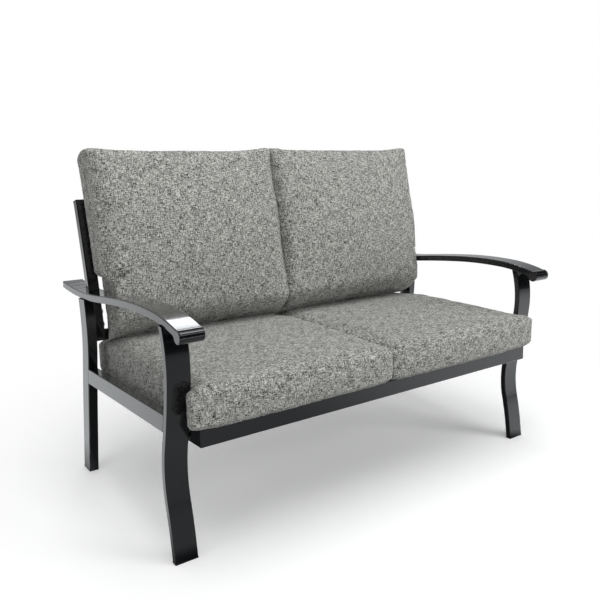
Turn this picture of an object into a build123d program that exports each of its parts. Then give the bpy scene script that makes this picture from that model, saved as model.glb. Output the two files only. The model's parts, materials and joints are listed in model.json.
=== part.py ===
from build123d import *
import os
from math import cos, degrees, radians, sin, tan

# Patio loveseat, in millimetres: +Z up, the front faces -Y, the origin is on the floor in the middle.
# Two side frames of bent aluminium tube carry a seat frame and a leaning back frame, and four loose
# cushions lie on these.

# Driving dimensions of the whole seat
overall_width = 1300
overall_depth = 812
arm_top_height = 603
seat_front_height = 336
seat_tilt = 2.6
back_top_height = 825
cushion_top_height = 958

# Tube walls and running clearances
tube_wall = 2
edge_radius = 2.5
cushion_clearance = 0.4
plug_clearance = 0.3
thread_clearance = 0.1
cut_overrun = 15
least_rise = 0.5
halving_steps = 30

# Arm: a flat bar bent in side view, rolled over at the nose, with reeds at both ends
arm_width = 62
arm_inset = 5
arm_thickness = 20
arm_drop = 37
arm_rear_angle = 185.2
arm_line_shares = [(0.999, 0.84), (0.817, 0.993), (0.617, 0.675), (0.401, 0.152), (0.175, 0.012),
                   (0.022, 0.522)]
nose_radius = 16.5
nose_height = 568.5
nose_throat_radius = 6
nose_reed_radius = 2.2
nose_reed_angles = (125, 152, 179)
rear_reed_width = 11
rear_reed_depth = 1.2
rear_reed_shares = (0.24, 0.53, 0.82)

# Front leg: a flat tube with an S bend, waist at the back and knee at the front
front_leg_width = 60
front_leg_thickness = 18
front_foot_setback = 73.5
front_leg_bow = 36
front_foot_angle = 83.35
front_leg_shares = [(-0.084, -0.02), (0.719, 0.236), (0.772, 0.491), (0.055, 0.746), (0.387, 0.961),
                    (0.605, 1)]

# Rear leg: a deep narrow tube that bows forward on its way up
rear_leg_width = 28
rear_leg_depth = 50
rear_foot_setback = 690.5
rear_leg_bow = 70
rear_foot_angle = 99.2
rear_leg_shares = [(0.03, -0.02), (-0.401, 0.322), (-0.871, 0.659), (-0.85, 1)]

# Side rail between the two legs of one side
side_rail_height = 45.5
side_rail_front_height = 370
side_rail_tilt = 2.9

# Seat frame: four mitred tubes, a centre rail and slats, tilted back
seat_rail_height = 44
seat_rail_thickness = 25
seat_front_setback = 35.5
seat_rear_reach = 78
seat_slat_width = 50
seat_slat_thickness = 12
seat_slats_per_side = 5

# Back frame: bent posts, slats and two cross rails on one common arc
post_width = 32
post_depth = 27
back_bottom_height = 421
back_leg_gap = 6
back_lean = 9.1
back_radius = 4000
back_rail_height = 32
back_rail_depth = 22
back_slat_width = 38
back_slat_depth = 12
back_slat_count = 8

# Fasteners and foot glides
bolt_radius = 4
bolt_hole_radius = 4.3
bolt_head_radius = 7
bolt_head_height = 4.5
bolt_socket_radius = 2.9
bolt_socket_depth = 2.6
bolt_tip_length = 3
nut_radius = 5.5
nut_length = 14
joint_washer_thickness = 1.5
joint_washer_radius = 9
seat_bolt_spacing = 24
back_bolt_spacing = 36
back_bolt_height = 45
back_bolt_head_height = 2.2
back_bolt_socket_depth = 1.5
back_bolt_forward = 4
glide_base = 3
glide_plug_height = 16
cap_thickness = 3
cap_plug_length = 12

# Seat cushions
seat_cushion_overhang = 24
seat_cushion_rear_inset = 3
seat_cushion_height = 438
seat_cushion_crown = 11
seat_cushion_bulge = 10
seat_cushion_rear_length = 223
seat_cushion_fall = 7.6
seat_edge_radius = 20
seat_end_inset = 11
seat_ear_reach = 24
seat_ear_depth = 52
seat_ear_root = 22
seat_ear_tip_depth_share = 0.55
seat_ear_tip_height_share = 0.9

# Back cushions
back_cushion_thickness = 120
back_cushion_bulge = 36
back_cushion_length = 533
back_cushion_foot_drop = 2
back_cushion_front_lift = 46
back_cushion_top_crown = 8
back_cushion_foot_crown = 8
back_cushion_peak = 14
back_cushion_sag = 20
back_cushion_end_inset = 36
back_rear_inset_share = 0.4
back_end_droop_share = 0.7
back_front_radius = 40
back_top_radius = 24
back_foot_radius = 10
back_side_reach = 15.4
back_side_rise = 26

# Stations across a cushion, as shares of its width, and the powers of their formulas
station_shares = (0, 0.014, 0.045, 0.11, 0.25, 0.5, 0.75, 0.89, 0.955, 0.986, 1)
inset_power = 16
peak_power = 6

# Places that follow from these sizes
front_y = -overall_depth / 2
half_width = overall_width / 2
arm_inner_x = half_width - arm_inset - arm_width
arm_line_height = arm_top_height - arm_thickness / 2
front_leg_inner_x = half_width - front_leg_width
rear_leg_inner_x = half_width - rear_leg_width
seat_half_width = front_leg_inner_x - joint_washer_thickness
seat_front_y = front_y + seat_front_setback
rear_waist_setback = rear_foot_setback - rear_leg_bow
seat_depth = rear_waist_setback + seat_rear_reach - seat_front_setback
seat_cushion_length = seat_cushion_overhang + seat_depth - seat_cushion_rear_inset
post_inner_x = rear_leg_inner_x - post_width
back_front_point = Vector(front_y + rear_waist_setback - back_leg_gap, back_bottom_height)
back_center = back_front_point + Vector(cos(radians(back_lean)), -sin(radians(back_lean))) * back_radius
back_arc_start = 180 - back_lean
cushion_outer_x = front_leg_inner_x - cushion_clearance
sides = {"left": -1, "right": 1}

seat_plane = Plane(
    origin=(0, seat_front_y, seat_front_height),
    x_dir=(1, 0, 0),
    z_dir=(0, sin(radians(seat_tilt)), cos(radians(seat_tilt))),
)

os.makedirs("parts", exist_ok=True)


def save(part, name):
    """Label a finished piece and write it under its own name."""
    part.label = name
    export_step(part, f"parts/{name}.step")


def low_x(sign, inner_x, width):
    """Lowest X of a piece that runs outwards from inner_x on one side of the seat."""
    return inner_x if sign > 0 else -inner_x - width


def beside(line, share, distance):
    """Point beside a side-view line: a positive distance lies to the left of its direction."""
    along = line % share
    return line @ share + Vector(-along.Y, along.X) * distance


def bar_face(arcs, thickness):
    """Side-view face of a bar of one thickness along arcs."""
    with BuildLine() as outline:
        for distance in (thickness / 2, -thickness / 2):
            for arc in arcs:
                TangentArc(beside(arc, 0, distance), beside(arc, 1, distance), tangent=arc % 0)
        for arc, end in ((arcs[0], 0), (arcs[-1], 1)):
            Line(beside(arc, end, thickness / 2), beside(arc, end, -thickness / 2))
    make_face(outline.edges())


def bar(arcs, thickness, x_start, width, mode=Mode.ADD):
    """Bar of one thickness along side-view arcs, extruded across the seat."""
    with BuildSketch(Plane.YZ.offset(x_start)) as profile:
        bar_face(arcs, thickness)
    extrude(profile.sketch, amount=width, mode=mode)


def at_height(arcs, height):
    """Point of rising side-view arcs at one height, by halving."""
    arc = [arc for arc in arcs if (arc @ 0).Y < height][-1]
    low, high = 0, 1
    for _ in range(halving_steps):
        middle = (low + high) / 2
        if (arc @ middle).Y < height:
            low = middle
        else:
            high = middle
    return arc @ low


def crosswise(point, x):
    """Plane square to X at one side-view point."""
    return Plane(origin=(x, point.X, point.Y), x_dir=(0, 1, 0), z_dir=(1, 0, 0))


def tangent_arcs(points, first_angle):
    """Side-view arcs through points, the first at a set angle and each tangent to the one before."""
    direction = Vector(cos(radians(first_angle)), sin(radians(first_angle)))
    arcs = []
    for start, end in zip(points, points[1:]):
        arcs.append(TangentArc(start, end, tangent=direction))
        direction = arcs[-1] % 1
    return arcs


def back_line(radius, start_length, end_length):
    """Arc of the back frame at one radius, between two lengths along its front face."""
    start_angle = back_arc_start - degrees(start_length / back_radius)
    arc_size = -degrees((end_length - start_length) / back_radius)
    return CenterArc(back_center, radius, start_angle, arc_size)


def back_point(length, forward):
    """Side-view point at a length up the back's front face and a distance in front of it."""
    angle = radians(back_arc_start) - length / back_radius
    return back_center + Vector(cos(angle), sin(angle)) * (back_radius + forward)


# Side-view centre lines of the arm, the two legs and the back post
arm_arcs = tangent_arcs([
    (front_y + along * overall_depth, arm_line_height - down * arm_drop) for along, down in arm_line_shares
], arm_rear_angle)
front_leg_arcs = tangent_arcs([
    (front_y + front_foot_setback + back * front_leg_bow, up * (arm_line_height - arm_thickness / 5))
    for back, up in front_leg_shares
], front_foot_angle)
rear_leg_arcs = tangent_arcs([
    (front_y + rear_foot_setback + back * rear_leg_bow, up * (arm_line_height - arm_drop))
    for back, up in rear_leg_shares
], rear_foot_angle)
back_rise = back_top_height - back_bottom_height
post_length = back_rise / cos(radians(back_lean) + 0.5 * back_rail_height / back_radius)
post_arcs = [back_line(back_radius - post_depth / 2, 0, post_length)]
back_bolt_arcs = [back_line(back_radius - post_depth / 2 + back_bolt_forward, 0, post_length)]

# Points where the bolts cross the legs
seat_rail_middle = seat_rail_height / 2
front_bolt_height = seat_front_height - seat_rail_middle - tan(radians(seat_tilt)) * (
    front_foot_setback + front_leg_bow - seat_front_setback
)
rear_bolt_height = seat_front_height - seat_rail_middle - tan(radians(seat_tilt)) * (
    rear_waist_setback - seat_front_setback
)
front_bolt_points = [
    at_height(front_leg_arcs, front_bolt_height + half * seat_bolt_spacing) for half in (-0.5, 0.5)
]
rear_bolt_points = [
    at_height(rear_leg_arcs, rear_bolt_height + half * seat_bolt_spacing) for half in (-0.5, 0.5)
]
back_bolt_points = [
    at_height(back_bolt_arcs, back_bottom_height + back_bolt_height + step * back_bolt_spacing)
    for step in (0, 1)
]


def bores(points, radius, x_start, length):
    """Round holes across the seat, from one X, at each side-view point."""
    for point in points:
        with BuildSketch(crosswise(point, x_start)) as hole:
            Circle(radius)
        extrude(hole.sketch, amount=length, mode=Mode.SUBTRACT)


# Arms: bent flat bars with a rolled nose, reeded at both ends, mortised for the back posts
def arm_shape(x_start, width):
    """Arm's full side-view shape without its reeds: the bar, its rolled nose and the throat between."""
    with BuildSketch(Plane.YZ.offset(x_start)) as profile:
        bar_face(arm_arcs, arm_thickness)
        with Locations((front_y + nose_radius, nose_height)):
            Circle(nose_radius)
        throat = profile.vertices().sort_by_distance((front_y + 2 * nose_radius, nose_height))[0]
        fillet(throat, nose_throat_radius)
    extrude(profile.sketch, amount=width)


for side, sign in sides.items():
    arm_x = low_x(sign, arm_inner_x, arm_width)
    with BuildPart() as arm:
        arm_shape(arm_x, arm_width)
        fillet(arm.faces().filter_by(Axis.X).edges(), edge_radius)
        with BuildSketch(Plane.YZ.offset(arm_x)):
            for angle in nose_reed_angles:
                with Locations((front_y + nose_radius, nose_height)):
                    with PolarLocations(nose_radius, 1, start_angle=angle):
                        Circle(nose_reed_radius)
            for share in rear_reed_shares:
                reed_radius = (rear_reed_width / 2) ** 2 / (2 * rear_reed_depth) + rear_reed_depth / 2
                reed_distance = arm_thickness / 2 + reed_radius - rear_reed_depth
                reed_center = beside(arm_arcs[0], share, -reed_distance)
                with Locations(reed_center):
                    Circle(reed_radius)
        extrude(amount=arm_width, mode=Mode.SUBTRACT)
        bar(post_arcs, post_depth, low_x(sign, post_inner_x, post_width), post_width, mode=Mode.SUBTRACT)
    save(arm.part, f"arm_{side}")

# Legs: hollow tubes, coped to the underside of the arm and cut level for the foot glides


def leg(arcs, thickness, inner_x, width, sign, bolt_points):
    """Bent leg tube with its nut holes, closed by the arm above and open at the foot."""
    x_start = low_x(sign, inner_x, width)
    with BuildPart() as arm_envelope:
        arm_shape(x_start - cut_overrun, width + 2 * cut_overrun)
    with BuildPart() as tube:
        bar(arcs, thickness, x_start, width)
        side_edges = tube.faces().filter_by(Axis.X).edges()
        fillet(side_edges.filter_by(lambda edge: edge.length > 1.5 * thickness), edge_radius)
        add(arm_envelope.part, mode=Mode.SUBTRACT)
        split(bisect_by=Plane.XY.offset(glide_base), keep=Keep.TOP)
        bar(arcs, thickness - 2 * tube_wall, x_start + tube_wall, width - 2 * tube_wall, mode=Mode.SUBTRACT)
        wall_x = low_x(sign, inner_x, tube_wall + cut_overrun / 5)
        bores(bolt_points, nut_radius + thread_clearance, wall_x, tube_wall + cut_overrun / 5)
    return tube.part


front_legs = {}
rear_legs = {}
for side, sign in sides.items():
    front_legs[side] = leg(
        front_leg_arcs, front_leg_thickness, front_leg_inner_x, front_leg_width, sign, front_bolt_points
    )
    save(front_legs[side], f"front_leg_{side}")
    rear_legs[side] = leg(
        rear_leg_arcs, rear_leg_depth, rear_leg_inner_x, rear_leg_width, sign,
        rear_bolt_points + back_bolt_points
    )
    save(rear_legs[side], f"rear_leg_{side}")

# Foot glides: a base under each tube and a plug inside it


def glides(arcs, thickness, inner_x, width):
    """Pair of foot glides for the two legs of one kind."""
    fit = tube_wall + plug_clearance
    with BuildPart() as plugs:
        for sign in sides.values():
            bar(arcs, thickness - 2 * fit, low_x(sign, inner_x, width) + fit, width - 2 * fit)
        split(bisect_by=Plane.XY.offset(glide_base), keep=Keep.TOP)
        split(bisect_by=Plane.XY.offset(glide_base + glide_plug_height), keep=Keep.BOTTOM)
    with BuildPart() as bases:
        for sign in sides.values():
            bar(arcs, thickness, low_x(sign, inner_x, width), width)
        split(bisect_by=Plane.XY, keep=Keep.TOP)
        split(bisect_by=Plane.XY.offset(glide_base), keep=Keep.BOTTOM)
        add(plugs.part)
    return bases.part


save(glides(front_leg_arcs, front_leg_thickness, front_leg_inner_x, front_leg_width), "front_foot_glides")
save(glides(rear_leg_arcs, rear_leg_depth, rear_leg_inner_x, rear_leg_width), "rear_foot_glides")

# Side rails: straight tubes coped between the legs of each side
side_rail_rear_y = front_y + rear_waist_setback
side_rail_front_y = front_y + front_foot_setback
side_rail_fall = tan(radians(side_rail_tilt)) * (side_rail_rear_y - side_rail_front_y)


def side_rail_bar(x_start, width, wall, mode=Mode.ADD):
    """Sloping bar between the centre lines of the legs, thinner all round by one wall."""
    top = side_rail_front_height - wall
    bottom = side_rail_front_height - side_rail_height + wall
    with BuildSketch(Plane.YZ.offset(x_start)) as profile:
        Polygon(
            (side_rail_front_y, bottom),
            (side_rail_rear_y, bottom - side_rail_fall),
            (side_rail_rear_y, top - side_rail_fall),
            (side_rail_front_y, top),
            align=None,
        )
    extrude(profile.sketch, amount=width, mode=mode)


for side, sign in sides.items():
    rail_x = low_x(sign, rear_leg_inner_x, rear_leg_width)
    with BuildPart() as rail:
        side_rail_bar(rail_x, rear_leg_width, 0)
        rail_axis = Axis((0, 0, 0), (0, cos(radians(side_rail_tilt)), -sin(radians(side_rail_tilt))))
        fillet(rail.edges().filter_by(rail_axis), edge_radius)
        side_rail_bar(rail_x + tube_wall, rear_leg_width - 2 * tube_wall, tube_wall, mode=Mode.SUBTRACT)
        bar(front_leg_arcs, front_leg_thickness, rail_x, rear_leg_width, mode=Mode.SUBTRACT)
        bar(rear_leg_arcs, rear_leg_depth, rail_x, rear_leg_width, mode=Mode.SUBTRACT)
        rail_body = rail.solids().sort_by(SortBy.VOLUME)[-1]
    with BuildPart() as side_rail:
        add(rail_body)
    save(side_rail.part, f"side_rail_{side}")

# Seat frame: four mitred tubes in the tilted plane of the seat


def mitred_tube(plane, length):
    """Tube along local X whose outer face is on the local X axis, mitred at both ends."""
    with BuildPart() as tube:
        with BuildSketch(plane.offset(-seat_rail_height)):
            Polygon(
                (-length / 2, 0),
                (length / 2, 0),
                (length / 2 - seat_rail_thickness, seat_rail_thickness),
                (-length / 2 + seat_rail_thickness, seat_rail_thickness),
                align=None,
            )
        extrude(amount=seat_rail_height)
        fillet(tube.edges().filter_by(Axis((0, 0, 0), plane.x_dir)), edge_radius)
        with BuildSketch(plane.offset(tube_wall - seat_rail_height)):
            inner = seat_rail_thickness - tube_wall
            Polygon(
                (-length / 2 + tube_wall, tube_wall),
                (length / 2 - tube_wall, tube_wall),
                (length / 2 - inner, inner),
                (-length / 2 + inner, inner),
                align=None,
            )
        extrude(amount=seat_rail_height - 2 * tube_wall, mode=Mode.SUBTRACT)
    return tube.part


save(mitred_tube(seat_plane, 2 * seat_half_width), "seat_front_rail")
rear_rail_plane = Plane(
    origin=seat_plane.from_local_coords((0, seat_depth, 0)), x_dir=(-1, 0, 0), z_dir=seat_plane.z_dir
)
save(mitred_tube(rear_rail_plane, 2 * seat_half_width), "seat_rear_rail")

for side, sign in sides.items():
    side_plane = Plane(
        origin=seat_plane.from_local_coords((sign * seat_half_width, seat_depth / 2, 0)),
        x_dir=seat_plane.y_dir * sign,
        z_dir=seat_plane.z_dir,
    )
    with BuildPart() as seat_side_rail:
        add(mitred_tube(side_plane, seat_depth))
        hole_x = low_x(sign, seat_half_width - seat_rail_thickness, seat_rail_thickness)
        bores(front_bolt_points + rear_bolt_points, bolt_hole_radius, hole_x, seat_rail_thickness)
    save(seat_side_rail.part, f"seat_side_rail_{side}")


def seat_bar(center_x, width, thickness, mode=Mode.ADD, wall=0):
    """Bar flush with the top of the seat frame, from its front rail to its rear rail."""
    with BuildSketch(seat_plane.offset(wall - thickness)) as profile:
        with Locations((center_x, seat_depth / 2)):
            Rectangle(width - 2 * wall, seat_depth - 2 * seat_rail_thickness)
    extrude(profile.sketch, amount=thickness - 2 * wall, mode=mode)


with BuildPart() as seat_centre_rail:
    seat_bar(0, seat_rail_thickness, seat_rail_height)
    fillet(seat_centre_rail.edges().filter_by(Axis((0, 0, 0), seat_plane.y_dir)), edge_radius)
    seat_bar(0, seat_rail_thickness, seat_rail_height, mode=Mode.SUBTRACT, wall=tube_wall)
save(seat_centre_rail.part, "seat_centre_rail")

slat_span = seat_half_width - 1.5 * seat_rail_thickness
slat_gap = (slat_span - seat_slats_per_side * seat_slat_width) / (seat_slats_per_side + 1)
for side, sign in sides.items():
    with BuildPart() as seat_slats:
        for row in range(seat_slats_per_side):
            slat_x = seat_rail_thickness / 2 + slat_gap * (row + 1) + seat_slat_width * (row + 0.5)
            seat_bar(sign * slat_x, seat_slat_width, seat_slat_thickness)
            seat_bar(sign * slat_x, seat_slat_width, seat_slat_thickness, mode=Mode.SUBTRACT, wall=tube_wall)
    save(seat_slats.part, f"seat_slats_{side}")

# Back frame: posts beside the rear legs, two cross rails and upright slats
for side, sign in sides.items():
    post_x = low_x(sign, post_inner_x, post_width)
    with BuildPart() as post:
        bar(post_arcs, post_depth, post_x, post_width)
        fillet(post.faces().filter_by(Axis.X).edges().filter_by(GeomType.CIRCLE), edge_radius)
        bar(post_arcs, post_depth - 2 * tube_wall, post_x + tube_wall, post_width - 2 * tube_wall,
            mode=Mode.SUBTRACT)
        bores(back_bolt_points, bolt_hole_radius, post_x, post_width)
    save(post.part, f"back_post_{side}")

cap_inset = tube_wall + plug_clearance
cap_plug_arcs = [back_line(back_radius - post_depth / 2, post_length - cap_plug_length, post_length)]
cap_arcs = [back_line(back_radius - post_depth / 2, post_length, post_length + cap_thickness)]
with BuildPart() as post_caps:
    for sign in sides.values():
        post_x = low_x(sign, post_inner_x, post_width)
        bar(cap_arcs, post_depth, post_x, post_width)
        bar(cap_plug_arcs, post_depth - 2 * cap_inset, post_x + cap_inset, post_width - 2 * cap_inset)
save(post_caps.part, "back_post_caps")

back_rail_radius = back_radius - post_depth / 2
for name, start in {"back_lower_rail": 0, "back_top_rail": post_length - back_rail_height}.items():
    outer_arcs = [back_line(back_rail_radius, start, start + back_rail_height)]
    inner_arcs = [back_line(back_rail_radius, start + tube_wall, start + back_rail_height - tube_wall)]
    with BuildPart() as back_rail:
        bar(outer_arcs, back_rail_depth, -post_inner_x, 2 * post_inner_x)
        fillet(back_rail.edges().filter_by(Axis.X), edge_radius)
        bar(inner_arcs, back_rail_depth - 2 * tube_wall, -post_inner_x, 2 * post_inner_x,
            mode=Mode.SUBTRACT)
    save(back_rail.part, name)

slat_arcs = [back_line(back_rail_radius, back_rail_height, post_length - back_rail_height)]
back_slat_pitch = (2 * post_inner_x + back_slat_width) / (back_slat_count + 1)
with BuildPart() as back_slats:
    for row in range(back_slat_count):
        slat_x = (row - (back_slat_count - 1) / 2) * back_slat_pitch - back_slat_width / 2
        bar(slat_arcs, back_slat_depth, slat_x, back_slat_width)
save(back_slats.part, "back_slats")

# Fasteners: bolts from the inside, washers or spacer tubes, and nuts set in the walls of the legs


def bolts(points, head_x, leg_x, head_height, socket_depth):
    """Pairs of socket-head bolts that point outwards, from the head's seat to past the nut."""
    with BuildPart() as group:
        for sign in sides.values():
            for point in points:
                with BuildSketch(crosswise(point, sign * (head_x - head_height))):
                    Circle(bolt_head_radius)
                extrude(amount=sign * head_height)
                with BuildSketch(crosswise(point, sign * head_x)):
                    Circle(bolt_radius)
                extrude(amount=sign * (leg_x + nut_length + bolt_tip_length - head_x))
                with BuildSketch(crosswise(point, sign * (head_x - head_height))):
                    RegularPolygon(bolt_socket_radius, 6)
                extrude(amount=sign * socket_depth, mode=Mode.SUBTRACT)
    return group.part


def sleeves(points, outer_radius, inner_radius, start_x, length):
    """Short tubes across the seat on both sides, one at each point."""
    with BuildPart() as group:
        for sign in sides.values():
            for point in points:
                with BuildSketch(crosswise(point, low_x(sign, start_x, length))):
                    Circle(outer_radius)
                    Circle(inner_radius, mode=Mode.SUBTRACT)
                extrude(amount=length)
    return group.part


rear_gap = rear_leg_inner_x - seat_half_width
seat_bolt_head_x = seat_half_width - seat_rail_thickness
save(bolts(front_bolt_points, seat_bolt_head_x, front_leg_inner_x, bolt_head_height, bolt_socket_depth),
     "seat_bolts_front")
save(bolts(rear_bolt_points, seat_bolt_head_x, rear_leg_inner_x, bolt_head_height, bolt_socket_depth),
     "seat_bolts_rear")
save(bolts(back_bolt_points, post_inner_x, rear_leg_inner_x, back_bolt_head_height,
           back_bolt_socket_depth), "back_bolts")
save(sleeves(front_bolt_points, joint_washer_radius, bolt_hole_radius, seat_half_width,
             joint_washer_thickness), "seat_front_washers")
save(sleeves(rear_bolt_points, joint_washer_radius, bolt_hole_radius, seat_half_width, rear_gap),
     "seat_rear_spacers")
nut_bore = bolt_radius + thread_clearance
save(sleeves(front_bolt_points, nut_radius, nut_bore, front_leg_inner_x, nut_length), "front_leg_nuts")
save(sleeves(rear_bolt_points + back_bolt_points, nut_radius, nut_bore, rear_leg_inner_x, nut_length),
     "rear_leg_nuts")

# Seat cushions: crowned boxes on the tilted seat, whose front corners swell out before the front legs


def end_share(along):
    """How far a station lies towards an end of the cushion: 0 in the middle and 1 at both ends."""
    return abs(2 * along - 1)


def seat_top(y):
    """Height of the seat plane, with the cushion's clearance, at one Y."""
    return seat_front_height + cushion_clearance - tan(radians(seat_tilt)) * (y - seat_front_y)


def seat_cushion_section(x, along):
    """Side-view outline of the seat cushion at one X, drawn in and without crown at its ends."""
    inset = end_share(along) ** inset_power * seat_end_inset
    crown_share = 1 - end_share(along) ** 2
    front = seat_front_y - seat_cushion_overhang + inset
    rear = seat_front_y - seat_cushion_overhang + seat_cushion_length - inset / 2
    knee = rear - seat_cushion_rear_length
    top = seat_cushion_height - inset
    rear_top = top - tan(radians(seat_cushion_fall)) * seat_cushion_rear_length
    front_bottom = Vector(front, seat_top(front))
    rear_bottom = Vector(rear, seat_top(rear))
    with BuildSketch(Plane.YZ.offset(x)) as section:
        with BuildLine():
            Line(rear_bottom, front_bottom)
            ThreePointArc(
                front_bottom,
                (front - crown_share * seat_cushion_bulge - least_rise, (front_bottom.Y + top) / 2),
                (front, top),
            )
            ThreePointArc(
                (front, top),
                ((front + knee) / 2, top + crown_share * seat_cushion_crown + least_rise),
                (knee, top),
            )
            Line((knee, top), (rear, rear_top))
            Line((rear, rear_top), rear_bottom)
        make_face()
        corners = section.vertices().filter_by(lambda v: abs(v.X - knee) > seat_edge_radius)
        fillet(corners, seat_edge_radius)
    return section.sketch


def seat_ear_section(x, depth_share, height_share):
    """Side-view outline of the swollen front corner at one X."""
    depth = depth_share * seat_ear_depth
    front = seat_front_y - seat_cushion_overhang + edge_radius + (seat_ear_depth - depth) / 3
    bottom = seat_top(front) + least_rise
    height = seat_cushion_height - edge_radius - bottom
    with BuildSketch(Plane.YZ.offset(x)) as section:
        with Locations((front + depth / 2, bottom + height / 2)):
            RectangleRounded(depth, height_share * height, depth_share * seat_edge_radius)
    return section.sketch


for side, sign in sides.items():
    span = cushion_outer_x - cushion_clearance
    with BuildPart() as seat_cushion:
        loft([
            seat_cushion_section(sign * (cushion_clearance + along * span), along) for along in station_shares
        ], ruled=True)
        loft([
            seat_ear_section(sign * (cushion_outer_x - seat_ear_root), 1, 1),
            seat_ear_section(sign * cushion_outer_x, 1, 1),
            seat_ear_section(sign * (cushion_outer_x + seat_ear_reach), seat_ear_tip_depth_share,
                             seat_ear_tip_height_share),
        ], ruled=True)
    save(seat_cushion.part, f"seat_cushion_{side}")

# Back cushions: pillows against the back frame, with raised corners and drawn-in sides


def back_cushion_section(x, along):
    """Side-view outline of the back cushion at one X, thinner at its ends and highest beside them."""
    inset_share = end_share(along) ** inset_power
    bulge_share = 1 - end_share(along) ** 2
    low_share = 1 - end_share(along) ** peak_power * (1 - back_end_droop_share * inset_share)
    rear = cushion_clearance + back_rear_inset_share * inset_share * back_cushion_end_inset
    front = back_cushion_thickness - (1 - back_rear_inset_share) * inset_share * back_cushion_end_inset
    foot = -back_cushion_foot_drop
    front_foot = foot + back_cushion_front_lift + low_share * back_cushion_sag
    top = back_cushion_length - low_share * back_cushion_peak
    rear_arc = back_line(back_radius + rear, foot, top)
    with BuildSketch(Plane.YZ.offset(x)) as section:
        with BuildLine():
            add(rear_arc)
            ThreePointArc(
                rear_arc @ 1,
                back_point(top + back_cushion_top_crown, (rear + front) / 2),
                back_point(top, front),
            )
            ThreePointArc(
                back_point(top, front),
                back_point((top + front_foot) / 2, front + least_rise + bulge_share * back_cushion_bulge),
                back_point(front_foot, front),
            )
            ThreePointArc(
                back_point(front_foot, front),
                back_point((foot + front_foot) / 2 - back_cushion_foot_crown, (rear + front) / 2),
                rear_arc @ 0,
            )
        make_face()
        corners = section.vertices().sort_by(Axis.Y)
        fillet(corners[0], back_foot_radius)
        fillet(corners[1], back_front_radius)
        fillet(corners[2:], back_top_radius)
    return section.sketch


back_outer_x = cushion_outer_x + back_side_reach
back_waist_x = arm_inner_x - cushion_clearance
for side, sign in sides.items():
    span = back_outer_x - cushion_clearance
    with BuildPart() as back_cushion:
        loft([
            back_cushion_section(sign * (cushion_clearance + along * span), along) for along in station_shares
        ], ruled=True)
        with BuildSketch(Plane.XZ) as front_view:
            with BuildLine():
                inner_low = (sign * cushion_clearance, back_bottom_height - back_cushion_thickness)
                inner_high = (sign * cushion_clearance, cushion_top_height + back_cushion_thickness)
                outer_low = (sign * back_waist_x, back_bottom_height - back_cushion_thickness)
                outer_waist = (sign * back_waist_x, arm_top_height)
                outer_hip = (sign * back_outer_x, arm_top_height + back_side_rise)
                outer_high = (sign * back_outer_x, cushion_top_height + back_cushion_thickness)
                Polyline(outer_waist, outer_low, inner_low, inner_high, outer_high, outer_hip)
                TangentArc(outer_hip, outer_waist, tangent=(0, -1))
            make_face()
        extrude(front_view.sketch, amount=overall_depth, both=True, mode=Mode.INTERSECT)
    save(back_cushion.part, f"back_cushion_{side}")
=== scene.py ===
import bmesh
import bpy
import json
from math import exp, pi, radians
from mathutils import Matrix, Vector, noise
from mathutils.bvhtree import BVHTree


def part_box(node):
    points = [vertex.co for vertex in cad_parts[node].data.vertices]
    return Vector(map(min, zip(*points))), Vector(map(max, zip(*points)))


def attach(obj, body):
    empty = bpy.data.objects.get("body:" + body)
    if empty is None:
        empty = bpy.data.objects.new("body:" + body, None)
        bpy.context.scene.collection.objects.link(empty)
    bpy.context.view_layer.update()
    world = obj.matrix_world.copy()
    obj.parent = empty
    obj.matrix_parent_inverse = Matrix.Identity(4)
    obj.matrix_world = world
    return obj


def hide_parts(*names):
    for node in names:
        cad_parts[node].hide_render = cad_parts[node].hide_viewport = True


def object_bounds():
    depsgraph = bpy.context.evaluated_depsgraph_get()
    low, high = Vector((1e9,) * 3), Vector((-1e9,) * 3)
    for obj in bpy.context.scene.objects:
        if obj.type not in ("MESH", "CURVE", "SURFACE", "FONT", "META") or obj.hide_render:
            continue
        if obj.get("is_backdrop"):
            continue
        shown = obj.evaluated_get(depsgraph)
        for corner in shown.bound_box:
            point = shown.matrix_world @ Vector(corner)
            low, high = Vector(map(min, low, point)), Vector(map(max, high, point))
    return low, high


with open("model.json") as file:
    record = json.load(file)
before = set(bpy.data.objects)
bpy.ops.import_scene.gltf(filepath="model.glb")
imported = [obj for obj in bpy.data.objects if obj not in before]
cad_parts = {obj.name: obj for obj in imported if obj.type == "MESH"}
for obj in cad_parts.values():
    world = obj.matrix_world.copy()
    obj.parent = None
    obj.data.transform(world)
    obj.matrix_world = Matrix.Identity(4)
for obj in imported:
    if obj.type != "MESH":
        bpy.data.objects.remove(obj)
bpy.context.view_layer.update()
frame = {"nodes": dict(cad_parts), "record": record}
nodes = frame["nodes"]

# The photograph's view: a camera at a standing person's chest height, in front and to the left of the
# seat, turned towards its middle and tipped down. It was worked out from the feet, rails and legs.
camera_place = (-1.2475, -1.6863, 0.9549)
camera_yaw = radians(35.578)
camera_dip = radians(12.2345)
camera_roll = radians(-0.208)
camera_data = bpy.data.cameras.new("photo_view")
camera_data.sensor_width = 36
camera_data.lens = 40.866
camera_data.clip_start = 0.05
camera = bpy.data.objects.new("photo_view", camera_data)
camera.matrix_world = (
    Matrix.Translation(camera_place)
    @ Matrix.Rotation(-camera_yaw, 4, "Z")
    @ Matrix.Rotation(pi / 2 - camera_dip, 4, "X")
    @ Matrix.Rotation(camera_roll, 4, "Z")
)
bpy.context.scene.collection.objects.link(camera)
bpy.context.scene.camera = camera


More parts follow.
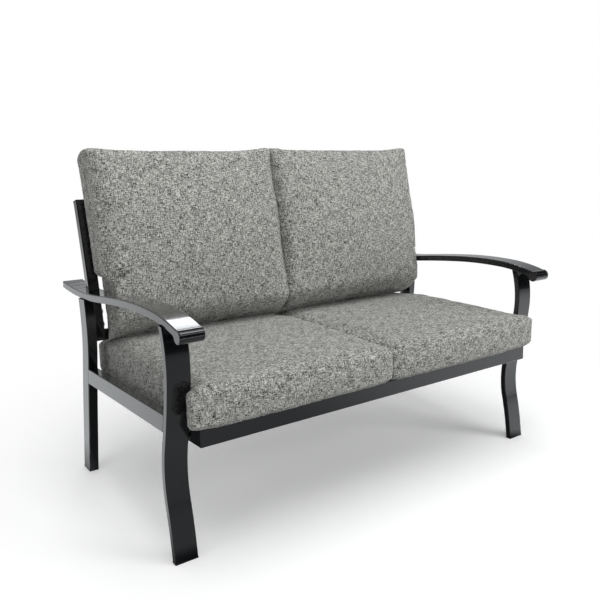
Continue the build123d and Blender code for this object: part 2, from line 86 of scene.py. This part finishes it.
# Welded frame: bent aluminium tube and bar, powder coated in gloss black after welding, so one skin
# covers arms, legs, rails, posts, slats and spacers. The coat is slightly wavy, like orange peel.
def add_node(tree, kind, settings=(), **inputs):
    """New shader node. Inputs are values or other nodes' outputs, given by name or as i and a number."""
    made = tree.nodes.new(kind)
    for name, value in dict(settings).items():
        setattr(made, name, value)
    for name, value in inputs.items():
        numbered = name[0] == "i" and name[1:].isdigit()
        socket = made.inputs[int(name[1:]) if numbered else name.replace("_", " ")]
        if isinstance(value, bpy.types.NodeSocket):
            tree.links.new(value, socket)
        else:
            socket.default_value = value
    return made


def new_finish(name):
    """Empty node material with its output, ready for a shader."""
    finish = bpy.data.materials.new(name)
    finish.use_nodes = True
    finish.node_tree.nodes.clear()
    output = finish.node_tree.nodes.new("ShaderNodeOutputMaterial")
    return finish, finish.node_tree, output.inputs["Surface"]


peel_scale = 350
peel_height = 0.00004
dust_scale = 9.0
least_roughness = 0.12
most_roughness = 0.22
darkest_black = (0.0022, 0.0025, 0.003, 1)
lightest_black = (0.004, 0.0045, 0.0055, 1)
powder_coat, tree, surface = new_finish("black_powder_coat")
place = add_node(tree, "ShaderNodeTexCoord").outputs["Object"]
peel = add_node(tree, "ShaderNodeTexNoise", Vector=place, Scale=peel_scale, Detail=2.0)
bump = add_node(tree, "ShaderNodeBump", Strength=0.5, Distance=peel_height, Height=peel.outputs["Fac"])
dust = add_node(tree, "ShaderNodeTexNoise", Vector=place, Scale=dust_scale, Detail=4.0)
gloss = add_node(tree, "ShaderNodeMapRange", Value=dust.outputs["Fac"], To_Min=least_roughness,
                 To_Max=most_roughness)
shade = add_node(tree, "ShaderNodeMix", dict(data_type="RGBA"), i0=dust.outputs["Fac"],
                 i6=darkest_black, i7=lightest_black)
paint = add_node(tree, "ShaderNodeBsdfPrincipled", Base_Color=shade.outputs[2], Roughness=gloss.outputs[0],
                 Normal=bump.outputs[0], Coat_Weight=1.0, Coat_Roughness=0.06)
tree.links.new(paint.outputs[0], surface)

coated_nodes = [row["node"] for row in frame["record"]["subparts"] if row["material_slot"] == "frame_coating"]
for name in coated_nodes:
    nodes[name].data.materials.clear()
    nodes[name].data.materials.append(powder_coat)

# Glides and caps: moulded black polyethylene, pushed into the open tube ends. The moulding has a fine
# spark-eroded grain.
grain_scale = 1400
grain_height = 0.0001
plastic_black = (0.014, 0.014, 0.015, 1)
black_plastic, tree, surface = new_finish("black_polyethylene")
place = add_node(tree, "ShaderNodeTexCoord").outputs["Object"]
grain = add_node(tree, "ShaderNodeTexNoise", Vector=place, Scale=grain_scale, Detail=3.0)
bump = add_node(tree, "ShaderNodeBump", Strength=0.5, Distance=grain_height, Height=grain.outputs["Fac"])
plastic = add_node(tree, "ShaderNodeBsdfPrincipled", Base_Color=plastic_black, Roughness=0.5,
                   Normal=bump.outputs[0])
tree.links.new(plastic.outputs[0], surface)
for name in ("front_foot_glides", "rear_foot_glides", "back_post_caps"):
    nodes[name].data.materials.clear()
    nodes[name].data.materials.append(black_plastic)

# Fasteners: turned stainless steel bolts, washers and threaded inserts, screwed through the legs and
# rails. The lathe leaves fine marks on them.
lathe_scale = (3000.0, 40.0, 40.0)
lathe_height = 0.00005
steel_grey = (0.56, 0.56, 0.57, 1)
stainless, tree, surface = new_finish("turned_stainless")
place = add_node(tree, "ShaderNodeTexCoord").outputs["Object"]
marks = add_node(tree, "ShaderNodeMapping", Vector=place, Scale=lathe_scale)
lathe = add_node(tree, "ShaderNodeTexNoise", Vector=marks.outputs[0], Scale=1.0, Detail=2.0)
bump = add_node(tree, "ShaderNodeBump", Strength=0.3, Distance=lathe_height, Height=lathe.outputs["Fac"])
steel = add_node(tree, "ShaderNodeBsdfPrincipled", Base_Color=steel_grey, Metallic=1.0, Roughness=0.28,
                 Normal=bump.outputs[0])
tree.links.new(steel.outputs[0], surface)
for row in frame["record"]["subparts"]:
    if row["material_slot"] == "stainless_hardware":
        nodes[row["node"]].data.materials.clear()
        nodes[row["node"]].data.materials.append(stainless)

# Cushions: covers of grey heathered tweed, woven from uneven slub yarns in light, middle and dark grey,
# sewn over foam and fibre. The weave follows the cloth on its own map, in metres.
yarn_width = 0.0013
yarn_length = 0.009
slub_width = 0.0013
slub_length = 0.024
slub_share = 0.42
patch_size = 0.036
patch_share = 0.06
dark_yarn = (0.018, 0.018, 0.016, 1)
middle_yarn = (0.205, 0.205, 0.188, 1)
light_yarn = (0.70, 0.70, 0.66, 1)
yarn_tones = ((0.435, dark_yarn), (0.498, middle_yarn), (0.56, light_yarn))
# Darkest painted shade on a seam, as a factor on the cloth colour.
painted_seam_shade_darkest = 0.55
weave_height = 0.0008
tweed, tree, surface = new_finish("grey_tweed")
cloth_map = add_node(tree, "ShaderNodeUVMap", dict(uv_map="weave")).outputs["UV"]


def yarns(width, length, seed, detail=1.0):
    """Streaks of uneven yarns on the cloth's map, as wide and as long as given."""
    moved = add_node(tree, "ShaderNodeMapping", Vector=cloth_map, Location=(seed, seed, 0),
                     Scale=(1 / width, 1 / length, 1))
    streaks = add_node(tree, "ShaderNodeTexNoise", dict(noise_dimensions="2D"), Vector=moved.outputs[0],
                       Scale=1.0, Detail=detail, Roughness=0.6)
    return streaks.outputs["Fac"]


def shared(first, second, share):
    """Mix of two values."""
    return add_node(tree, "ShaderNodeMix", i0=share, i2=first, i3=second).outputs[0]


warp = yarns(yarn_width, yarn_length, 3.1, 2.0)
weft = yarns(yarn_length, yarn_width, 7.7, 2.0)
over = yarns(yarn_width, yarn_width, 11.3)
which = add_node(tree, "ShaderNodeMapRange", Value=over, From_Min=0.42, From_Max=0.58)
woven = shared(warp, weft, which.outputs[0])
slub_warp = yarns(slub_width, slub_length, 17.9)
slub_weft = yarns(slub_length, slub_width, 23.3)
slubs = shared(slub_warp, slub_weft, 0.5)
patches = yarns(patch_size, patch_size, 5.5, 3.0)
slubbed = shared(woven, slubs, slub_share)
toned = shared(slubbed, patches, patch_share)
tones = add_node(tree, "ShaderNodeValToRGB", Fac=toned)
ramp = tones.color_ramp
ramp.elements.new(0.5)
for element, (position, colour) in zip(ramp.elements, yarn_tones):
    element.position = position
    element.color = colour
# Painted shade along the seams: the cloth colour is multiplied down towards the darkest factor where the seam
# mark is set.
painted_seam_shade_mark = add_node(tree, "ShaderNodeAttribute", dict(attribute_name="seam")).outputs["Fac"]
seam_shade = add_node(tree, "ShaderNodeMapRange", Value=painted_seam_shade_mark, To_Min=1.0, To_Max=painted_seam_shade_darkest)
seam_shaded_tones = add_node(tree, "ShaderNodeMix", dict(data_type="RGBA", blend_type="MULTIPLY"), i0=1.0,
                i6=tones.outputs[0], i7=seam_shade.outputs[0])
bump = add_node(tree, "ShaderNodeBump", Strength=0.7, Distance=weave_height, Height=slubbed)
fabric = add_node(tree, "ShaderNodeBsdfPrincipled", Base_Color=seam_shaded_tones.outputs[2], Roughness=0.95,
                  Normal=bump.outputs[0], Sheen_Weight=0.12, Specular_IOR_Level=0.2)
tree.links.new(fabric.outputs[0], surface)


def merged_copy(node, name):
    """Copy of a soft solid whose loose triangles are joined, as a new object."""
    mesh = nodes[node].data.copy()
    mesh.name = name
    shape = bmesh.new()
    shape.from_mesh(mesh)
    bmesh.ops.remove_doubles(shape, verts=shape.verts, dist=0.00002)
    shape.to_mesh(mesh)
    shape.free()
    mesh.materials.clear()
    piece = bpy.data.objects.new(name, mesh)
    bpy.context.scene.collection.objects.link(piece)
    return piece


def with_modifier(piece, kind, **settings):
    """Apply one modifier to a piece's mesh."""
    step = piece.modifiers.new("step", kind)
    for name, value in settings.items():
        setattr(step, name, value)
    keep_result(piece)


def keep_result(piece):
    """Make what a piece's modifiers give its own mesh."""
    graph = bpy.context.evaluated_depsgraph_get()
    finished = bpy.data.meshes.new_from_object(piece.evaluated_get(graph))
    piece.modifiers.clear()
    piece.data = finished
    finished.name = piece.name


def move_along_normals(mesh, distance):
    """Move each point along its normal by a distance that a function of the point and the normal gives."""
    moves = [vertex.normal * distance(vertex.co, vertex.normal) for vertex in mesh.vertices]
    for vertex, move in zip(mesh.vertices, moves):
        vertex.co += move


def freedom(vertex, solid, across):
    """How free the cloth is: 0 on a cushion's rim and 1 in the middle of its panels, along across."""
    inner = vertex.co - vertex.normal * rim_depth
    away = rim_width
    for direction in across:
        for way in (direction, -direction):
            distance = solid.ray_cast(inner, way, rim_width)[3]
            if distance is not None:
                away = min(away, distance)
    share = away / rim_width
    return share * share * (3 - 2 * share)


def stuff(piece, slack, reaches):
    """Fill the cover: cloth with pressure inside, cut a little slack, each point held within its reach."""
    start = [vertex.co.copy() for vertex in piece.data.vertices]
    filling = piece.modifiers.new("filling", "CLOTH")
    filling.settings.quality = 5
    filling.settings.mass = 0.3
    filling.settings.tension_stiffness = 12
    filling.settings.compression_stiffness = 12
    filling.settings.shear_stiffness = 4
    filling.settings.bending_stiffness = 0.4
    filling.settings.shrink_min = -slack
    filling.settings.use_pressure = True
    filling.settings.uniform_pressure_force = 4
    filling.settings.effector_weights.gravity = 0
    filling.collision_settings.use_collision = False
    filling.point_cache.frame_end = stuffing_frames
    for moment in range(1, stuffing_frames + 1):
        bpy.context.scene.frame_set(moment)
    keep_result(piece)
    bpy.context.scene.frame_set(1)
    for vertex, origin, reach in zip(piece.data.vertices, start, reaches):
        move = vertex.co - origin
        if move.length > reach:
            vertex.co = origin + move.normalized() * reach


def fit_to_solid(piece, solid, proud, sunk):
    """Press the cover flat where it rests and fill it out: it stays between sunk and proud of its solid."""
    for vertex in piece.data.vertices:
        near, normal, _, _ = solid.find_nearest(vertex.co)
        outside = (vertex.co - near).dot(normal)
        wanted = min(max(outside, -sunk(near, normal)), proud(near, normal))
        vertex.co += normal * (wanted - outside)


def lay_weave(mesh, lean):
    """Map of the cloth in metres: each face takes the two directions that it lies along."""
    tipped = Matrix.Rotation(lean, 3, "X")
    uv = mesh.uv_layers.new(name="weave")
    for face in mesh.polygons:
        normal = tipped @ face.normal
        flat = max(range(3), key=lambda i: abs(normal[i]))
        for corner in face.loop_indices:
            point = tipped @ mesh.vertices[mesh.loops[corner].vertex_index].co
            if flat == 0:
                uv.data[corner].uv = (point.y, point.z)
            elif flat == 1:
                uv.data[corner].uv = (point.x, point.z)
            else:
                uv.data[corner].uv = (point.x, -point.y)


def sew(mesh, share, depth, painted_shade):
    """Draw the cloth in along a seam and store its painted shade as the seam mark, where share gives 1 on the
    seam and 0 away from it.
    """
    marks = [share(vertex.co, vertex.normal) for vertex in mesh.vertices]
    moves = [vertex.normal * -depth * mark for vertex, mark in zip(mesh.vertices, marks)]
    seam = mesh.attributes.new("seam", "FLOAT", "POINT")
    for vertex, mark, move in zip(mesh.vertices, marks, moves):
        seam.data[vertex.index].value = mark * painted_shade
        vertex.co += move


voxel = 0.007
stuffing_frames = 20
start_inset = 0.004
rim_width = 0.07
rim_depth = 0.012
rim_reach = 0.001
cloth_gap = 0.0002
cloth_draw = 0.0003
panel_facing = 0.3
edge_facing = 0.5
rear_facing = 0.2


def soft_shape(node, slack, reach, proud, sunk, across):
    """Cover of one cushion: its solid drawn in a little, stuffed, and held near to the solid again."""
    cushion = merged_copy(node, node + "_cover")
    solid = BVHTree.FromPolygons(
        [vertex.co.copy() for vertex in cushion.data.vertices],
        [tuple(face.vertices) for face in cushion.data.polygons],
    )
    with_modifier(cushion, "REMESH", mode="VOXEL", voxel_size=voxel)
    with_modifier(cushion, "SMOOTH", factor=0.5, iterations=2)
    shares = [freedom(vertex, solid, across) for vertex in cushion.data.vertices]
    points = cushion.data.vertices
    moves = [point.normal * -start_inset * share for point, share in zip(points, shares)]
    for point, move in zip(points, moves):
        point.co += move
    stuff(cushion, slack, [rim_reach + (reach - rim_reach) * share for share in shares])
    fit_to_solid(cushion, solid, proud, sunk)
    with_modifier(cushion, "SMOOTH", factor=0.5, iterations=1)
    with_modifier(cushion, "SUBSURF", levels=1, render_levels=1)
    fit_to_solid(cushion, solid, proud, sunk)
    return cushion, solid


def finish_cushion(cushion, node, lean):
    """Give a cushion its weave, its cloth and its place on its own body."""
    lay_weave(cushion.data, lean)
    cushion.data.shade_smooth()
    cushion.data.materials.clear()
    cushion.data.materials.append(tweed)
    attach(cushion, node)
    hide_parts(node)


# Seat cushions: boxed covers on firm foam, with a top panel, a band and a bottom panel. They lie flat on
# the seat frame, and their front corners swell out before the front legs.
seat_panel = (Vector((1, 0, 0)), Vector((0, 1, 0)))
seat_slack = 0.02
seat_reach = 0.022
seat_swell = 0.004
seat_hollow = 0.003
seat_lump_height = 0.0016
seat_lump_scale = 14
seat_ripple_height = 0.0006
seat_ripple_scale = 45
box_seam_lift = 0.72
box_seam_spread = 0.10
box_seam_depth = 0.0006
# How much painted shade the box seam gets.
box_seam_painted_shade = 0.3


def seat_proud(near, normal):
    """How far the cover of a seat cushion may stand out of its solid."""
    return seat_swell if normal.z > panel_facing or normal.y < -panel_facing else cloth_gap


def seat_sunk(near, normal):
    """How far the cover of a seat cushion may draw in from its solid."""
    return seat_hollow if normal.z > panel_facing or normal.y < -panel_facing else cloth_draw


def seat_lumps(co, normal):
    """Slight unevenness of foam under cloth, in metres."""
    lump = seat_lump_height * noise.noise(co * seat_lump_scale)
    return lump + seat_ripple_height * noise.noise(co * seat_ripple_scale)


def box_seam(co, normal):
    """1 where the band of the cover meets its top and bottom panels."""
    return exp(-((abs(normal.z) - box_seam_lift) / box_seam_spread) ** 2)


for side in ("left", "right"):
    node = "seat_cushion_" + side
    cushion, solid = soft_shape(node, seat_slack, seat_reach, seat_proud, seat_sunk, seat_panel)
    move_along_normals(cushion.data, seat_lumps)
    sew(cushion.data, box_seam, box_seam_depth, box_seam_painted_shade)
    finish_cushion(cushion, node, 0)

# Back cushions: knife-edged covers over loose fibre, softer than the seat. They lean against the back
# frame, stand on the seat cushions, and sink into folds along the foot.
back_lean = radians(12)
back_panel = (Vector((1, 0, 0)), Vector((0, 0, 1)) @ Matrix.Rotation(back_lean, 3, "X"))
back_slack = 0.035
back_reach = 0.026
back_swell = 0.006
back_hollow = 0.006
rear_line_shares = (0.2, 0.5, 0.8)
ear_pull = 0.006
ear_spread = 0.03
knife_seam_depth = 0.0015
knife_seam_spread = 0.003
knife_seam_forward = 0.055
# How much painted shade the knife seam gets.
knife_seam_painted_shade = 0.8
back_lump_height = 0.003
back_lump_scale = 11
back_ripple_height = 0.001
back_ripple_scale = 32
fold_height = 0.0045
fold_reach = 0.09


def back_proud(near, normal):
    """How far the cover of a back cushion may stand out of its solid."""
    return back_swell if normal.y < -panel_facing or normal.z > edge_facing else cloth_gap


def back_sunk(near, normal):
    """How far the cover of a back cushion may draw in from its solid."""
    return back_hollow if normal.y < -panel_facing else cloth_draw


for side in ("left", "right"):
    node = "back_cushion_" + side
    cushion, solid = soft_shape(node, back_slack, back_reach, back_proud, back_sunk, back_panel)
    low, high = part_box(node)
    middle_x = (low[0] + high[0]) / 2
    heights = [low[2] + share * (high[2] - low[2]) for share in rear_line_shares]
    rears = [solid.ray_cast((middle_x, 1, height), (0, -1, 0))[0].y for height in heights]

    def rear_at(z):
        """Y of the cushion's rear face at one height, on a parabola through three heights."""
        total = 0
        for i in range(3):
            term = rears[i]
            for j in range(3):
                if j != i:
                    term *= (z - heights[j]) / (heights[i] - heights[j])
            total += term
        return total

    def back_lumps(co, normal):
        """Soft hollows in the fibre, and folds that gather along the foot, in metres."""
        foot = exp(-((co.z - low[2]) / fold_reach) ** 2)
        lump = back_lump_height * noise.noise(co * back_lump_scale)
        lump += back_ripple_height * noise.noise(co * back_ripple_scale)
        fold = noise.noise(Vector((co.x * 24, 3.7, co.z * 7)))
        return lump + foot * fold_height * fold if normal.y < rear_facing else 0.0

    def knife_seam(co, normal):
        """1 on the seam that runs round the cushion between its front and rear panels."""
        return exp(-((rear_at(co.z) - co.y - knife_seam_forward) / knife_seam_spread) ** 2)

    move_along_normals(cushion.data, back_lumps)
    for corner_x, outwards in ((low[0], -1), (high[0], 1)):
        for corner_z, upwards in ((low[2], -1), (high[2], 1)):
            pull = Vector((outwards, 0, upwards)).normalized() * ear_pull
            for vertex in cushion.data.vertices:
                away = Vector((vertex.co.x - corner_x, 0, vertex.co.z - corner_z)).length
                vertex.co += pull * exp(-(away / ear_spread) ** 2)
    sew(cushion.data, knife_seam, knife_seam_depth, knife_seam_painted_shade)
    finish_cushion(cushion, node, back_lean)

# Studio floor: white, and it keeps the seat's soft shadow, which fades into the white surround. For
# glossy rays the floor is a glowing sheet with painted light and a painted shadow: bright on the right
# and at the rear, dim in front, and dark under the seat. The gloss paint mirrors this painted glow.
floor_size = 12
floor_paint = (1.05, 1.05, 1.05, 1)
floor_glow = 0.12
shadow_middle = (0.3, -0.05, 0)
shadow_radius = 0.72
white_radius = 1.7
# Painted light for the floor's glow in reflections: its dim and bright levels, the painted shadow under the
# seat, and its tint.
painted_mirrored_dim = 0.30
painted_mirrored_bright = 0.85
painted_mirrored_shadow = 0.08
painted_mirrored_tint = (0.95, 0.98, 1, 1)
# Size of the painted shadow under the seat, and its soft edge.
half_seat_width = 0.60
half_seat_depth = 0.36
painted_shadow_edge = 0.14
floor_mesh = bpy.data.meshes.new("floor")
floor_mesh.from_pydata(
    [(x * floor_size, y * floor_size, 0) for x, y in ((-1, -1), (1, -1), (1, 1), (-1, 1))], [], [(0, 1, 2, 3)]
)
floor = bpy.data.objects.new("floor", floor_mesh)
bpy.context.scene.collection.objects.link(floor)
floor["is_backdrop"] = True
white_floor, tree, surface = new_finish("white_floor")
light_path = add_node(tree, "ShaderNodeLightPath")
place = add_node(tree, "ShaderNodeTexCoord").outputs["Object"]


def distance_from(spot):
    """Distance of a place on the floor from one spot, in metres."""
    away = add_node(tree, "ShaderNodeVectorMath", dict(operation="DISTANCE"), i0=place, i1=spot)
    return away.outputs["Value"]


matte = add_node(tree, "ShaderNodeBsdfDiffuse", Color=floor_paint)
glow = add_node(tree, "ShaderNodeEmission", Color=(1, 1, 1, 1), Strength=floor_glow)
near_floor = add_node(tree, "ShaderNodeAddShader", i0=matte.outputs[0], i1=glow.outputs[0])
far_floor = add_node(tree, "ShaderNodeEmission", Color=(1, 1, 1, 1), Strength=1.0)
fade = add_node(tree, "ShaderNodeMapRange", dict(interpolation_type="SMOOTHSTEP"),
                Value=distance_from(shadow_middle), From_Min=shadow_radius, From_Max=white_radius)
seen_floor = add_node(tree, "ShaderNodeMixShader", Fac=fade.outputs[0], i1=near_floor.outputs[0],
                      i2=far_floor.outputs[0])
lit_floor = add_node(tree, "ShaderNodeBsdfDiffuse", Color=(0.6, 0.6, 0.6, 1))
# Painted light pool for reflections: the floor's glow grows brighter to the right and to the rear, and fades
# far off.
outwards = add_node(tree, "ShaderNodeVectorMath", dict(operation="NORMALIZE"), i0=place).outputs[0]
outwards_x = add_node(tree, "ShaderNodeSeparateXYZ", Vector=outwards).outputs[0]
across_floor = add_node(tree, "ShaderNodeSeparateXYZ", Vector=place)
to_right = add_node(tree, "ShaderNodeMapRange", dict(interpolation_type="SMOOTHSTEP"),
                    Value=outwards_x, From_Min=0.15, From_Max=0.85)
to_rear = add_node(tree, "ShaderNodeMapRange", dict(interpolation_type="SMOOTHSTEP"),
                   Value=across_floor.outputs[1], From_Min=-0.35, From_Max=0.0)
painted_lit_side = add_node(tree, "ShaderNodeMath", dict(operation="MAXIMUM"), i0=to_right.outputs[0],
                    i1=to_rear.outputs[0])
painted_light_share = add_node(tree, "ShaderNodeMapRange", Value=painted_lit_side.outputs[0], To_Min=painted_mirrored_dim,
                     To_Max=painted_mirrored_bright)
far_share = add_node(tree, "ShaderNodeMapRange", Value=distance_from((0, 0, 0)), From_Min=3.0, From_Max=9.0,
                     To_Min=1.0, To_Max=0.5)


def beyond(part, inner):
    """Mask of the painted shadow: 0 under the seat and 1 beyond it, along one direction of the floor."""
    size = add_node(tree, "ShaderNodeMath", dict(operation="ABSOLUTE"), i0=part)
    return add_node(tree, "ShaderNodeMapRange", dict(interpolation_type="SMOOTHSTEP"), Value=size.outputs[0],
                    From_Min=inner, From_Max=inner + painted_shadow_edge).outputs[0]


# Painted shadow under the seat, laid into the floor's glow for reflections.
clear_of_seat = add_node(tree, "ShaderNodeMath", dict(operation="MAXIMUM"),
                         i0=beyond(across_floor.outputs[0], half_seat_width),
                         i1=beyond(across_floor.outputs[1], half_seat_depth))
painted_shadow_share = add_node(tree, "ShaderNodeMapRange", Value=clear_of_seat.outputs[0], To_Min=painted_mirrored_shadow,
                        To_Max=1.0)
painted_mirrored_share = add_node(tree, "ShaderNodeMath", dict(operation="MULTIPLY"), i0=painted_light_share.outputs[0],
                          i1=painted_shadow_share.outputs[0])
painted_mirrored_level = add_node(tree, "ShaderNodeMath", dict(operation="MULTIPLY"), i0=painted_mirrored_share.outputs[0],
                          i1=far_share.outputs[0])
painted_mirrored_floor = add_node(tree, "ShaderNodeEmission", Color=painted_mirrored_tint, Strength=painted_mirrored_level.outputs[0])
for_light = add_node(tree, "ShaderNodeMixShader", Fac=light_path.outputs["Is Glossy Ray"],
                     i1=lit_floor.outputs[0], i2=painted_mirrored_floor.outputs[0])
mixed = add_node(tree, "ShaderNodeMixShader", Fac=light_path.outputs["Is Camera Ray"],
                 i1=for_light.outputs[0], i2=seen_floor.outputs[0])
tree.links.new(mixed.outputs[0], surface)
floor_mesh.materials.append(white_floor)

# Studio room: a white surround with plain soft light. The gloss paint mirrors it dim, with a window
# behind the seat and a skylight over its front.
window_way = Vector((0.42, 0.74, 0.53)).normalized()
window_cosines = (0.985, 0.996)
window_strength = 5.0
skylight_way = Vector((0.43, -0.45, 0.78)).normalized()
skylight_cosines = (0.975, 0.99)
skylight_strength = 4.0
dark_room = 0.02
rear_wall = 0.4
room_light = 0.38
world = bpy.data.worlds.new("white_room")
bpy.context.scene.world = world
world.use_nodes = True
tree = world.node_tree
tree.nodes.clear()
surface = tree.nodes.new("ShaderNodeOutputWorld").inputs["Surface"]
light_path = add_node(tree, "ShaderNodeLightPath")
towards = add_node(tree, "ShaderNodeTexCoord").outputs["Generated"]
parts_of_place = add_node(tree, "ShaderNodeSeparateXYZ", Vector=towards)
bright_rear = add_node(tree, "ShaderNodeMapRange", dict(interpolation_type="SMOOTHSTEP"),
                       Value=parts_of_place.outputs[1], From_Min=0.0, From_Max=0.6, To_Min=dark_room,
                       To_Max=rear_wall)


def pane(way, cosines, strength):
    """Bright round pane in one direction of the room, with a soft edge between two cosines."""
    side_on = add_node(tree, "ShaderNodeVectorMath", dict(operation="DOT_PRODUCT"), i0=towards, i1=way)
    edged = add_node(tree, "ShaderNodeMapRange", dict(interpolation_type="SMOOTHSTEP"),
                     Value=side_on.outputs["Value"], From_Min=cosines[0], From_Max=cosines[1],
                     To_Max=strength)
    return edged.outputs[0]


panes = add_node(tree, "ShaderNodeMath", dict(operation="ADD"),
                 i0=pane(window_way, window_cosines, window_strength),
                 i1=pane(skylight_way, skylight_cosines, skylight_strength))
mirrored_light = add_node(tree, "ShaderNodeMath", dict(operation="ADD"), i0=bright_rear.outputs[0],
                          i1=panes.outputs[0])
room = add_node(tree, "ShaderNodeBackground", Color=(0.97, 0.98, 1, 1), Strength=room_light)
mirrored_room = add_node(tree, "ShaderNodeBackground", Color=(0.96, 0.98, 1, 1),
                         Strength=mirrored_light.outputs[0])
backdrop = add_node(tree, "ShaderNodeBackground", Color=(1, 1, 1, 1), Strength=1.0)
for_light = add_node(tree, "ShaderNodeMixShader", Fac=light_path.outputs["Is Glossy Ray"],
                     i1=room.outputs[0], i2=mirrored_room.outputs[0])
mixed = add_node(tree, "ShaderNodeMixShader", Fac=light_path.outputs["Is Camera Ray"],
                 i1=for_light.outputs[0], i2=backdrop.outputs[0])
tree.links.new(mixed.outputs[0], surface)


def soft_lamp(name, place, aim, size, power):
    """Square soft lamp at a place, turned towards a point, that the paint doesn't mirror."""
    data = bpy.data.lights.new(name, "AREA")
    data.shape = "SQUARE"
    data.size = size
    data.energy = power
    lamp = bpy.data.objects.new(name, data)
    lamp.location = place
    lamp.rotation_euler = (Vector(aim) - Vector(place)).to_track_quat("-Z", "Y").to_euler()
    lamp.visible_glossy = False
    bpy.context.scene.collection.objects.link(lamp)


soft_lamp("overhead", (-0.2, -0.6, 3.2), (0, 0, 0.4), 2.6, 47)
soft_lamp("front_right", (2.4, -3.2, 1.6), (0, 0, 0.5), 1.8, 68)
soft_lamp("left", (-3.2, -0.8, 1.4), (0, 0, 0.4), 1.8, 16)
soft_lamp("rear", (0.6, 3.4, 1.8), (0, 0, 0.5), 1.8, 20)

bpy.context.scene.view_settings.view_transform = "Standard"
low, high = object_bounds()
